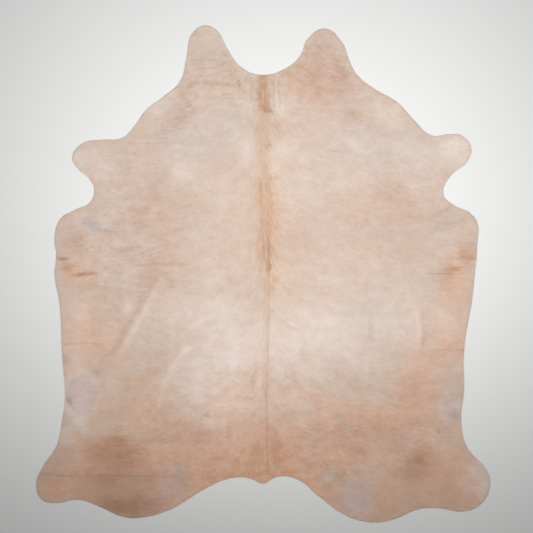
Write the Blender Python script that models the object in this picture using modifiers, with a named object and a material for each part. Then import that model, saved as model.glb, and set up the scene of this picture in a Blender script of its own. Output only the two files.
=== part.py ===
"""A whole cowhide rug, hair side up, lying flat on the surface that it rests on.

The hide is one uncut skin: the neck with its two lobes is at +Y, the tail at -Y, and the four
legs spread to the left (-X) and right (+X). It is modelled as a thin sheet that lies at z = 0.
Where the skin was folded for storage, or curls at a foot, the sheet lifts off the surface.
"""

from collections import namedtuple
from math import cos, pi, sin

import bmesh
import bpy
from mathutils import Matrix, Vector

# All sizes and places are in millimetres. MM turns them into Blender's metres.
MM = 0.001

# The sheet: tanned skin with its short hair pressed flat on it.
SHEET_THICKNESS = 3.0
SHEET_CELL = 26.0
SHEET_CELLS_ACROSS = 84
SHEET_CELLS_ALONG = 92

# The knife's outline is swept from below the sheet to above its highest fold.
OUTLINE_STEPS = 6
OUTLINE_HALF_DEPTH = 40.0

# Pale champagne hair, as linear red, green, blue and alpha.
HAIR_COLOUR = (0.62, 0.46, 0.37, 1.0)
HAIR_ROUGHNESS = 0.75

# The outline runs through these landmarks, from the neck to the tail, on each side of the spine.
Landmark = namedtuple("Landmark", "name left_x left_y right_x right_y")
LANDMARKS = [
    Landmark("throat curve", -95, 965, 95, 960),
    Landmark("lobe root", -170, 1060, 170, 1020),
    Landmark("lobe inner side", -215, 1140, 210, 1105),
    Landmark("lobe tip", -275, 1165, 290, 1150),
    Landmark("lobe outer side", -335, 1125, 370, 1085),
    Landmark("neck side", -360, 1020, 405, 1000),
    Landmark("neck root", -390, 905, 440, 935),
    Landmark("upper shoulder", -465, 835, 520, 870),
    Landmark("shoulder", -550, 770, 630, 805),
    Landmark("lower shoulder", -605, 695, 705, 725),
    Landmark("foreleg root", -660, 640, 790, 650),
    Landmark("foreleg top", -765, 630, 865, 655),
    Landmark("foreleg upper tip", -845, 615, 930, 650),
    Landmark("foreleg tip", -895, 545, 975, 590),
    Landmark("foreleg lower tip", -865, 490, 955, 525),
    Landmark("foreleg underside", -820, 450, 880, 460),
    Landmark("armpit", -795, 400, 845, 375),
    Landmark("armpit turn", -815, 335, 900, 320),
    Landmark("flank top", -885, 300, 965, 290),
    Landmark("flank corner", -955, 255, 1005, 240),
    Landmark("flank", -980, 160, 1005, 140),
    Landmark("side tuck", -970, 80, 995, 15),
    Landmark("belly top", -980, 10, 980, -125),
    Landmark("belly", -955, -145, 950, -290),
    Landmark("belly low", -945, -370, 940, -400),
    Landmark("lower flank", -930, -570, 940, -550),
    Landmark("groin", -945, -690, 930, -695),
    Landmark("thigh", -970, -805, 955, -810),
    Landmark("hock", -1040, -915, 1050, -925),
    Landmark("hind foot tip", -1065, -990, 1065, -980),
    Landmark("hind foot corner", -1035, -1060, 1015, -1085),
    Landmark("hind foot under", -965, -1075, 935, -1115),
    Landmark("heel", -870, -1060, 820, -1100),
    Landmark("heel hollow", -765, -1095, 730, -1105),
    Landmark("buttock outer", -675, -1135, 605, -1155),
    Landmark("buttock", -600, -1145, 505, -1165),
    Landmark("buttock inner", -445, -1110, 380, -1130),
    Landmark("rump", -275, -1010, 255, -1040),
    Landmark("rump inner", -175, -965, 170, -970),
    Landmark("tail side", -100, -955, 95, -950),
    Landmark("tail root", -50, -965, 45, -960),
]
THROAT = (-5, 935)
TAIL = (0, -980)

# Each fold or curl is a soft ridge. Its line runs from start to end, and its middle is off the
# straight line by `bow`, to the left of someone who walks from start to end. The ridge is
# `height` high at its middle, lower at its ends, and dies away at `reach` from its line.
# A curl's line lies along the cut edge, so the sheet is highest there. Where the folds lift the
# sheet by less than LEAST_LIFT it lies flat.
ENDS_TO_MIDDLE = 0.4
LEAST_LIFT = 0.08
Fold = namedtuple("Fold", "name start_x start_y end_x end_y bow height reach")
FOLDS = [
    Fold("neck part of the spine", 0, 800, 5, 250, -6, 2.6, 44),
    Fold("back part of the spine", 5, 250, 15, -975, 8, 3.4, 46),
    Fold("left shoulder crease", -640, 618, -100, 608, 10, 2.2, 42),
    Fold("right shoulder crease", 140, 592, 395, 566, -8, 2.2, 42),
    Fold("left flank tuck", -1000, 80, -890, 66, 4, 4.0, 44),
    Fold("right flank tuck", 1015, 84, 870, 16, -6, 3.2, 46),
    Fold("left belly crease", -640, 46, -380, 36, 8, 2.2, 42),
    Fold("right belly crease", 750, 8, 870, 0, 4, 2.2, 42),
    Fold("long diagonal", -455, -20, -675, -345, 22, 4.4, 62),
    Fold("short diagonal", -335, -325, -465, -530, -16, 3.2, 54),
    Fold("right belly ridge", 712, -110, 722, -350, 14, 3.2, 54),
    Fold("right thigh ridge", 520, -380, 545, -600, -12, 2.2, 50),
    Fold("left flank crease", -970, -330, -750, -322, -8, 2.6, 44),
    Fold("right flank crease", 775, -350, 965, -356, 8, 2.6, 44),
    Fold("hind leg crease", -1055, -930, -290, -958, 14, 3.2, 46),
    Fold("left lobe curl", -315, 1170, -235, 1178, 8, 3.2, 80),
    Fold("right lobe curl", 250, 1158, 330, 1150, 8, 2.6, 80),
    Fold("left fore foot curl", -905, 600, -885, 490, -14, 3.2, 80),
    Fold("right fore foot curl", 975, 630, 970, 530, 14, 3.2, 80),
    Fold("left belly edge wave", -990, -40, -962, -220, -6, 2.6, 66),
    Fold("right belly edge wave", 982, -170, 955, -320, 4, 2.6, 66),
    Fold("left hind foot curl", -1078, -1000, -1010, -1085, -20, 3.6, 90),
    Fold("right hind foot curl", 1078, -990, 1020, -1095, 20, 3.6, 90),
    Fold("left buttock edge wave", -660, -1150, -540, -1155, -8, 2.6, 66),
    Fold("right buttock edge wave", 420, -1160, 540, -1172, -8, 2.6, 66),
    Fold("tail curl", -20, -992, 20, -992, 0, 4.2, 54),
]


def clear_scene():
    """Empty the scene of its objects."""
    for old in list(bpy.data.objects):
        bpy.data.objects.remove(old, do_unlink=True)


def new_collection(name):
    """A collection that hangs from the scene's own."""
    collection = bpy.data.collections.new(name)
    bpy.context.scene.collection.children.link(collection)
    return collection


def outline_points():
    """The landmarks in order around the hide: down the right side, and up the left."""
    right = [(row.right_x, row.right_y) for row in LANDMARKS]
    left = [(row.left_x, row.left_y) for row in reversed(LANDMARKS)]
    return [THROAT, *right, TAIL, *left]


def outline_curve(collection):
    """The closed, smooth outline as a filled flat curve with depth."""
    curve = bpy.data.curves.new("outline", "CURVE")
    curve.dimensions = "2D"
    curve.fill_mode = "BOTH"
    curve.extrude = OUTLINE_HALF_DEPTH * MM
    curve.resolution_u = OUTLINE_STEPS
    places = outline_points()
    spline = curve.splines.new("BEZIER")
    spline.bezier_points.add(len(places) - 1)
    spline.use_cyclic_u = True
    for point, (x, y) in zip(spline.bezier_points, places):
        point.co = (x * MM, y * MM, 0.0)
        point.handle_left_type = "AUTO"
        point.handle_right_type = "AUTO"
    outline = bpy.data.objects.new("outline", curve)
    collection.objects.link(outline)
    return outline


def meshed(source, name, collection):
    """Replace a curve object by a mesh object whose caps are welded to its sides."""
    bpy.context.view_layer.update()
    evaluated = source.evaluated_get(bpy.context.evaluated_depsgraph_get())
    mesh = bpy.data.meshes.new_from_object(evaluated)
    mesh.name = name
    weld = bmesh.new()
    weld.from_mesh(mesh)
    bmesh.ops.remove_doubles(weld, verts=weld.verts, dist=0.01 * MM)
    bmesh.ops.recalc_face_normals(weld, faces=weld.faces)
    weld.to_mesh(mesh)
    weld.free()
    result = bpy.data.objects.new(name, mesh)
    result.matrix_world = source.matrix_world
    collection.objects.link(result)
    bpy.data.objects.remove(source, do_unlink=True)
    return result


def centre_on_origin(piece):
    """Move a piece so that its box is centred on the origin in X and Y."""
    for axis in (0, 1):
        places = [vertex.co[axis] for vertex in piece.data.vertices]
        piece.location[axis] -= (min(places) + max(places)) / 2


def knife(collection):
    """The prism inside the outline, which trims the sheet."""
    cutter = meshed(outline_curve(collection), "knife", collection)
    centre_on_origin(cutter)
    cutter.hide_render = True
    cutter.display_type = "WIRE"
    return cutter


def fold_lift(fold, place):
    """How high one fold lifts the sheet at a place, in millimetres."""
    start = Vector((fold.start_x, fold.start_y))
    along = Vector((fold.end_x, fold.end_y)) - start
    share = (place - start).dot(along) / along.length_squared
    share = min(max(share, 0.0), 1.0)
    swell = sin(pi * share)
    nearest = start + along * share + along.orthogonal().normalized() * fold.bow * swell
    distance = (place - nearest).length
    if distance >= fold.reach:
        return 0.0
    crest = fold.height * (ENDS_TO_MIDDLE + (1 - ENDS_TO_MIDDLE) * swell)
    return crest * (1 + cos(pi * distance / fold.reach)) / 2


def sheet_mesh():
    """A grid at floor level, larger than the hide, that rises over each fold."""
    half_width = SHEET_CELL * SHEET_CELLS_ACROSS / 2
    half_length = SHEET_CELL * SHEET_CELLS_ALONG / 2
    grid = bmesh.new()
    bmesh.ops.create_grid(
        grid,
        x_segments=SHEET_CELLS_ACROSS,
        y_segments=SHEET_CELLS_ALONG,
        size=1.0,
        matrix=Matrix.Diagonal((half_width, half_length, 1.0, 1.0)),
    )
    for vertex in grid.verts:
        lift = sum(fold_lift(fold, vertex.co.xy) for fold in FOLDS)
        vertex.co.z = lift if lift > LEAST_LIFT else 0.0
        vertex.co *= MM
    mesh = bpy.data.meshes.new("hide")
    grid.to_mesh(mesh)
    grid.free()
    return mesh


def hair_material():
    """Short, soft hair with a low sheen."""
    material = bpy.data.materials.new("champagne_hair")
    material.use_nodes = True
    shader = material.node_tree.nodes["Principled BSDF"]
    shader.inputs["Base Color"].default_value = HAIR_COLOUR
    shader.inputs["Roughness"].default_value = HAIR_ROUGHNESS
    shader.inputs["Metallic"].default_value = 0.0
    return material


def hide(collection, cutter):
    """The hide itself: the folded sheet, given its thickness and trimmed to the outline."""
    sheet = bpy.data.objects.new("hide", sheet_mesh())
    sheet.data.materials.append(hair_material())
    collection.objects.link(sheet)
    skin = sheet.modifiers.new("skin thickness", "SOLIDIFY")
    skin.thickness = SHEET_THICKNESS * MM
    skin.offset = 1.0
    trim = sheet.modifiers.new("trim to outline", "BOOLEAN")
    trim.operation = "INTERSECT"
    trim.solver = "EXACT"
    trim.object = cutter
    return sheet


clear_scene()
hide(new_collection("cowhide_rug"), knife(new_collection("cutters")))
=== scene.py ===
"""A pale champagne cowhide rug, hair side up, seen from straight above on a plain studio floor."""

from collections import namedtuple
from math import cos, pi, radians, sin

import bpy
import numpy as np
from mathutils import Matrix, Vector
from mathutils.geometry import delaunay_2d_cdt
from mathutils.kdtree import KDTree


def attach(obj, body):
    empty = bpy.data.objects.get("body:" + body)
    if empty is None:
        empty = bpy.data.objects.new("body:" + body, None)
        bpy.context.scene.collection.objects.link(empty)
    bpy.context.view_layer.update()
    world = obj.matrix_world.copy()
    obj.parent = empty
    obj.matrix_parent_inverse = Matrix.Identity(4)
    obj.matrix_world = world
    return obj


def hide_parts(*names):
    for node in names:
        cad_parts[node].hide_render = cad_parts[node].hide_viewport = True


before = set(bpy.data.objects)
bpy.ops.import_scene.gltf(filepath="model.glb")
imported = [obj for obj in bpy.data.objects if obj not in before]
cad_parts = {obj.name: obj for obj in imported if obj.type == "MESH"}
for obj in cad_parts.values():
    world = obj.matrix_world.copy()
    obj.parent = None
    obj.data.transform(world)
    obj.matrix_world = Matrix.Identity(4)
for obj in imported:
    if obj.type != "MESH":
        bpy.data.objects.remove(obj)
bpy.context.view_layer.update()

# Sizes below are in millimetres unless a name says otherwise. MM turns them into metres.
MM = 0.001


# ---- The skin -------------------------------------------------------------------------------
# One whole tanned cowhide: a thin sheet of leather, suede on the flesh side that lies on the
# floor, with its edge cut by knife. It keeps soft ridges where it was folded for storage, and
# curls up a little at its feet, its lobes and its tail.

SKIN_TOP = 2.3
RIM_STEP = 5.0
HAIR_SIDE_STEP = 9.0
FLESH_SIDE_STEP = 20.0
EDGE_ROUND = 0.7
EDGE_SHOULDER = 1.5
KNIFE_WOBBLE = 0.4
KNIFE_WOBBLE_LUMP = 9
GRAIN_SWELL = 0.25
GRAIN_SWELL_LUMP = 34

# The knife's line runs through these landmarks, from the neck to the tail, on each side.
Landmark = namedtuple("Landmark", "name left_x left_y right_x right_y")
LANDMARKS = [
    Landmark("throat curve", -95, 965, 95, 960),
    Landmark("lobe root", -170, 1060, 170, 1020),
    Landmark("lobe inner side", -215, 1140, 210, 1105),
    Landmark("lobe tip", -275, 1165, 290, 1150),
    Landmark("lobe outer side", -335, 1125, 370, 1085),
    Landmark("neck side", -360, 1020, 405, 1000),
    Landmark("neck root", -390, 905, 440, 935),
    Landmark("upper shoulder", -465, 835, 520, 870),
    Landmark("shoulder", -550, 770, 630, 805),
    Landmark("lower shoulder", -605, 695, 705, 725),
    Landmark("foreleg root", -660, 640, 790, 650),
    Landmark("foreleg top", -765, 630, 865, 655),
    Landmark("foreleg upper tip", -845, 615, 930, 650),
    Landmark("foreleg tip", -895, 545, 975, 590),
    Landmark("foreleg lower tip", -865, 490, 955, 525),
    Landmark("foreleg underside", -820, 450, 880, 460),
    Landmark("armpit", -795, 400, 845, 375),
    Landmark("armpit turn", -815, 335, 900, 320),
    Landmark("flank top", -885, 300, 965, 290),
    Landmark("flank corner", -955, 255, 1005, 240),
    Landmark("flank", -980, 160, 1005, 140),
    Landmark("side tuck", -970, 80, 995, 15),
    Landmark("belly top", -980, 10, 980, -125),
    Landmark("belly", -955, -145, 950, -290),
    Landmark("belly low", -945, -370, 940, -400),
    Landmark("lower flank", -930, -570, 940, -550),
    Landmark("groin", -945, -690, 930, -695),
    Landmark("thigh", -970, -805, 955, -810),
    Landmark("hock", -1040, -915, 1050, -925),
    Landmark("hind foot tip", -1065, -990, 1065, -980),
    Landmark("hind foot corner", -1035, -1060, 1015, -1085),
    Landmark("hind foot under", -965, -1075, 935, -1115),
    Landmark("heel", -870, -1060, 820, -1100),
    Landmark("heel hollow", -765, -1095, 730, -1105),
    Landmark("buttock outer", -675, -1135, 605, -1155),
    Landmark("buttock", -600, -1145, 505, -1165),
    Landmark("buttock inner", -445, -1110, 380, -1130),
    Landmark("rump", -275, -1010, 255, -1040),
    Landmark("rump inner", -175, -965, 170, -970),
    Landmark("tail side", -100, -955, 95, -950),
    Landmark("tail root", -50, -965, 45, -960),
]
THROAT = (-5, 935)
TAIL = (0, -980)

# Each fold or curl is a ridge along a bowed line. It is `height` high at its middle, lower at
# its ends, and dies away at `reach` from its line.
ENDS_TO_MIDDLE = 0.4
Fold = namedtuple("Fold", "name start_x start_y end_x end_y bow height reach")
FOLDS = [
    Fold("neck part of the spine", 0, 800, 5, 250, -6, 2.6, 44),
    Fold("back part of the spine", 5, 250, 15, -975, 8, 3.4, 46),
    Fold("left shoulder crease", -640, 618, -100, 608, 10, 2.2, 42),
    Fold("right shoulder crease", 140, 592, 395, 566, -8, 2.2, 42),
    Fold("left flank tuck", -1000, 80, -890, 66, 4, 4.0, 44),
    Fold("right flank tuck", 1015, 84, 870, 16, -6, 3.2, 46),
    Fold("left belly crease", -640, 46, -380, 36, 8, 2.2, 42),
    Fold("right belly crease", 750, 8, 870, 0, 4, 2.2, 42),
    Fold("long diagonal", -469, -12, -680, -388, 2, 4.4, 62),
    Fold("short diagonal", -335, -325, -465, -530, -16, 3.2, 54),
    Fold("right belly ridge", 712, -110, 722, -350, 14, 3.2, 54),
    Fold("right thigh ridge", 520, -380, 545, -600, -12, 2.2, 50),
    Fold("left flank crease", -970, -330, -750, -322, -8, 2.6, 44),
    Fold("right flank crease", 775, -350, 965, -356, 8, 2.6, 44),
    Fold("hind leg crease", -1055, -930, -290, -958, 14, 3.2, 46),
    Fold("left lobe curl", -315, 1170, -235, 1178, 8, 3.2, 80),
    Fold("right lobe curl", 250, 1158, 330, 1150, 8, 2.6, 80),
    Fold("left fore foot curl", -905, 600, -885, 490, -14, 3.2, 80),
    Fold("right fore foot curl", 975, 630, 970, 530, 14, 3.2, 80),
    Fold("left belly edge wave", -990, -40, -962, -220, -6, 2.6, 66),
    Fold("right belly edge wave", 982, -170, 955, -320, 4, 2.6, 66),
    Fold("left hind foot curl", -1078, -1000, -1010, -1085, -20, 3.6, 90),
    Fold("right hind foot curl", 1078, -990, 1020, -1095, 20, 3.6, 90),
    Fold("left buttock edge wave", -660, -1150, -540, -1155, -8, 2.6, 66),
    Fold("right buttock edge wave", 420, -1160, 540, -1172, -8, 2.6, 66),
    Fold("tail curl", -20, -992, 20, -992, 0, 4.2, 54),
]


def bowed_line(mark, x, y):
    """How far places are from a bowed line, and how near they are to its middle, from 0 to 1."""
    run_x = mark.end_x - mark.start_x
    run_y = mark.end_y - mark.start_y
    length = np.hypot(run_x, run_y)
    share = ((x - mark.start_x) * run_x + (y - mark.start_y) * run_y) / length**2
    share = np.clip(share, 0.0, 1.0)
    swell = np.sin(pi * share)
    line_x = mark.start_x + run_x * share - run_y / length * mark.bow * swell
    line_y = mark.start_y + run_y * share + run_x / length * mark.bow * swell
    return np.hypot(x - line_x, y - line_y), swell


def lift(x, y):
    """How high the folds and curls hold the sheet off the floor."""
    height = np.zeros_like(x)
    for fold in FOLDS:
        distance, swell = bowed_line(fold, x, y)
        crest = fold.height * (ENDS_TO_MIDDLE + (1 - ENDS_TO_MIDDLE) * swell)
        height += crest * (1 + np.cos(pi * np.minimum(distance / fold.reach, 1.0))) / 2
    return height


def faded(inside):
    """A smooth step from 0 to 1."""
    inside = np.clip(inside, 0.0, 1.0)
    return inside * inside * (3 - 2 * inside)


# Soft noise is read from a square of random numbers. The hide's middle falls between its points.
LATTICE = 160
LATTICE_MIDDLE_X = 40.37
LATTICE_MIDDLE_Y = 40.71


def clouds(x, y, cell, seed):
    """Soft noise from -1 to 1 whose lumps are about `cell` across."""
    lattice = np.random.default_rng(seed).uniform(-1, 1, (LATTICE, LATTICE))
    column = np.mod(x / cell + LATTICE_MIDDLE_X, LATTICE - 2)
    row = np.mod(y / cell + LATTICE_MIDDLE_Y, LATTICE - 2)
    i = column.astype(int)
    j = row.astype(int)
    over = faded(column - i)
    up = faded(row - j)
    below = lattice[j, i] * (1 - over) + lattice[j, i + 1] * over
    above = lattice[j + 1, i] * (1 - over) + lattice[j + 1, i + 1] * over
    return below * (1 - up) + above * up


def cut_edge():
    """The closed line through the landmarks, in even steps, anticlockwise from the throat."""
    right = [(row.right_x, row.right_y) for row in LANDMARKS]
    left = [(row.left_x, row.left_y) for row in reversed(LANDMARKS)]
    places = [THROAT, *right, TAIL, *left][::-1]
    curve = bpy.data.curves.new("cut edge", "CURVE")
    curve.dimensions = "2D"
    curve.fill_mode = "NONE"
    curve.resolution_u = 24
    spline = curve.splines.new("BEZIER")
    spline.bezier_points.add(len(places) - 1)
    spline.use_cyclic_u = True
    for point, (x, y) in zip(spline.bezier_points, places):
        point.co = (x, y, 0.0)
        point.handle_left_type = "AUTO"
        point.handle_right_type = "AUTO"
    line = bpy.data.objects.new("cut edge", curve)
    fine = np.array([vertex.co[:2] for vertex in line.to_mesh().vertices])
    bpy.data.objects.remove(line)
    bpy.data.curves.remove(curve)
    fine -= (fine.min(axis=0) + fine.max(axis=0)) / 2
    closed = np.vstack([fine, fine[:1]])
    length = np.concatenate([[0], np.cumsum(np.linalg.norm(np.diff(closed, axis=0), axis=1))])
    spots = np.linspace(0, length[-1], int(length[-1] / RIM_STEP), endpoint=False)
    return np.stack([np.interp(spots, length, closed[:, i]) for i in (0, 1)], axis=1)


rim = cut_edge()
rim_ahead = np.roll(rim, -1, axis=0) - np.roll(rim, 1, axis=0)
rim_ahead /= np.linalg.norm(rim_ahead, axis=1)[:, None]
rim_outward = np.stack([rim_ahead[:, 1], -rim_ahead[:, 0]], axis=1)
wobble = KNIFE_WOBBLE * clouds(rim[:, 0], rim[:, 1], KNIFE_WOBBLE_LUMP, seed=3)
rim += rim_outward * wobble[:, None]
rim_tree = KDTree(len(rim))
for index, (x, y) in enumerate(rim):
    rim_tree.insert((x, y, 0.0), index)
rim_tree.balance()


def inside_by(x, y):
    """How far places are inside the cut edge. It is under zero outside it."""
    nearest = np.array([rim_tree.find((px, py, 0.0))[1] for px, py in zip(x, y)])
    out = (x - rim[nearest, 0]) * rim_outward[nearest, 0]
    out += (y - rim[nearest, 1]) * rim_outward[nearest, 1]
    away = np.hypot(x - rim[nearest, 0], y - rim[nearest, 1])
    return np.where(out > 0, -away, away)


# Staggered rows lie closer together than the places in them, so that triangles come out even.
# Places are shaken by shares of a step, and keep half a step from the rim.
ROW_SPACING = 0.866
SIDE_SHAKE = 0.22
RIM_CLEARANCE = 0.5
INSIDE_ONLY = 1
CLOSEST = 1e-6


def scattered(step, shake, seed):
    """Places all over the hide's box, in staggered rows that are shaken a little."""
    draw = np.random.default_rng(seed)
    width, height = rim.max(axis=0) - rim.min(axis=0) + 2 * step
    row, column = np.mgrid[0 : int(height / (step * ROW_SPACING)), 0 : int(width / step)]
    x = rim[:, 0].min() - step + (column + row % 2 / 2) * step
    y = rim[:, 1].min() - step + row * step * ROW_SPACING
    off_x, off_y = draw.uniform(-shake, shake, (2, *x.shape)) * step
    return (x + off_x).ravel(), (y + off_y).ravel()


def leather_side(step, seed):
    """One side of the sheet in plan: its places, the rim's first, and its triangles."""
    x, y = scattered(step, SIDE_SHAKE, seed)
    keep = inside_by(x, y) > step * RIM_CLEARANCE
    places = np.vstack([rim, np.stack([x[keep], y[keep]], axis=1)])
    edges = [(i, (i + 1) % len(rim)) for i in range(len(rim))]
    corners = [Vector(place) for place in places]
    found = delaunay_2d_cdt(corners, edges, [], INSIDE_ONLY, CLOSEST)
    return places, np.array(found[2])


hair_side, hair_faces = leather_side(HAIR_SIDE_STEP, seed=11)
flesh_side, flesh_faces = leather_side(FLESH_SIDE_STEP, seed=12)
rim_count = len(rim)
hair_count = len(hair_side)
ring = np.arange(rim_count)
ring_next = (ring + 1) % rim_count


def swell(x, y):
    """The skin's own slight unevenness."""
    return GRAIN_SWELL * clouds(x, y, GRAIN_SWELL_LUMP, seed=4)


def skin_top(x, y):
    """The height of the skin's hair side over the floor."""
    return SKIN_TOP + lift(x, y) + swell(x, y)


def wall(upper, lower):
    """The triangles between two rings of the cut edge, as they face outward."""
    first = np.stack([upper + ring, lower + ring, lower + ring_next], axis=1)
    second = np.stack([upper + ring, lower + ring_next, upper + ring_next], axis=1)
    return np.vstack([first, second])


plan = np.vstack([hair_side, rim, flesh_side])
plan[:rim_count] -= rim_outward * EDGE_ROUND
rise = np.zeros(len(plan))
rise[:hair_count] = SKIN_TOP + swell(plan[:hair_count, 0], plan[:hair_count, 1])
rise[hair_count : hair_count + rim_count] = EDGE_SHOULDER
skin_places = np.column_stack([plan, rise + lift(plan[:, 0], plan[:, 1])])
skin_parts = [
    hair_faces,
    wall(0, hair_count),
    wall(hair_count, hair_count + rim_count),
    flesh_faces[:, ::-1] + hair_count + rim_count,
]
skin_faces = np.vstack(skin_parts)

# The skin's finishes by number: the hair side, the flesh side and the cut edge.
ON_HAIR = 0
ON_FLESH = 1
ON_EDGE = 2
part_finishes = [ON_HAIR, ON_EDGE, ON_EDGE, ON_FLESH]
skin_finish = np.repeat(part_finishes, [len(part) for part in skin_parts])


def new_piece(name, places, faces, finishes, face_finish=None):
    """A mesh object from places in millimetres, triangles and finishes."""
    mesh = bpy.data.meshes.new(name)
    mesh.vertices.add(len(places))
    mesh.vertices.foreach_set("co", (places * MM).astype(np.float32).ravel())
    mesh.loops.add(faces.size)
    mesh.loops.foreach_set("vertex_index", faces.astype(np.int32).ravel())
    mesh.polygons.add(len(faces))
    mesh.polygons.foreach_set("loop_start", np.arange(0, faces.size, 3, dtype=np.int32))
    for finish in finishes:
        mesh.materials.append(finish)
    if face_finish is not None:
        mesh.polygons.foreach_set("material_index", face_finish.astype(np.int32))
    mesh.update(calc_edges=True)
    mesh.validate()
    piece = bpy.data.objects.new(name, mesh)
    bpy.context.scene.collection.objects.link(piece)
    return piece


def mark_points(piece, name, values):
    """Keep one number at each vertex, for the finish to read."""
    layer = piece.data.attributes.new(name, "FLOAT", "POINT")
    layer.data.foreach_set("value", values.astype(np.float32))


def lay_out(piece, flat):
    """Keep the flat map that the piece's colours are drawn on, one place for each corner."""
    layer = piece.data.uv_layers.new(name="OFBake")
    layer.uv.foreach_set("vector", flat.astype(np.float32).ravel())


class Wire:
    """A value in a finish's node tree. Sums and products of wires add Math nodes."""

    def __init__(self, socket):
        self.socket = socket

    def node(self, kind, settings, inputs, output=0):
        """Add a node to the same tree, set it up, feed its inputs, and give one output."""
        made = self.socket.id_data.nodes.new("ShaderNode" + kind)
        for name, value in settings.items():
            setattr(made, name, value)
        for name, value in inputs.items():
            feed(made.inputs[name], value)
        return Wire(made.outputs[output])

    def maths(self, operation, *others):
        values = dict(enumerate((self, *others)))
        return self.node("Math", {"operation": operation}, values)

    def __add__(self, other):
        return self.maths("ADD", other)

    def __sub__(self, other):
        return self.maths("SUBTRACT", other)

    def __mul__(self, other):
        return self.maths("MULTIPLY", other)

    def __rsub__(self, other):
        return self * -1.0 + other

    __radd__ = __add__
    __rmul__ = __mul__

    def blend(self, below, above, share):
        """A mix of two colours."""
        return self.node("Mix", {"data_type": "RGBA"}, {0: share, 6: below, 7: above}, 2)

    def shade(self, factor):
        """A colour made lighter or darker by a value."""
        return self.node("VectorMath", {"operation": "SCALE"}, {"Vector": self, "Scale": factor})

    def tinted(self, tint):
        """A colour times another, as a dye takes light out of it."""
        return self.node("VectorMath", {"operation": "MULTIPLY"}, {0: self, 1: tint})

    def kept(self, name):
        """A number that the mesh keeps at its vertices."""
        return self.node("Attribute", {"attribute_name": name}, {}, "Fac")

    def noise(self, scale, detail, roughness):
        """Noise from 0 to 1 in the plane, at so many lumps a metre each way."""
        stretched = self.node("Mapping", {}, {"Vector": self, "Scale": (*scale, 1.0)})
        settings = {"noise_dimensions": "2D"}
        inputs = {"Vector": stretched, "Scale": 1.0, "Detail": detail, "Roughness": roughness}
        return self.node("TexNoise", settings, inputs)

    def bump(self, strength, depth):
        """The tipped surface that this height gives, its depth in metres."""
        return self.node("Bump", {}, {"Strength": strength, "Distance": depth, "Height": self})

    def turned(self, angle):
        """The same places, turned in the plane."""
        return self.node("Mapping", {}, {"Vector": self, "Rotation": (0.0, 0.0, angle)})


def feed(socket, value):
    """Link a wire to a socket, or set its number or colour."""
    if isinstance(value, Wire):
        socket.id_data.links.new(value.socket, socket)
    elif hasattr(socket.default_value, "__len__") and len(socket.default_value) == 4:
        socket.default_value = (*value[:3], 1.0)
    else:
        socket.default_value = value


def new_finish(name, settings):
    """A material with plain numbers on its shader, and the wire of places on the object."""
    finish = bpy.data.materials.new(name)
    finish.use_nodes = True
    shader = finish.node_tree.nodes["Principled BSDF"]
    for socket, value in settings.items():
        feed(shader.inputs[socket], value)
    coordinates = finish.node_tree.nodes.new("ShaderNodeTexCoord")
    return finish, shader, Wire(coordinates.outputs["Object"])


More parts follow.
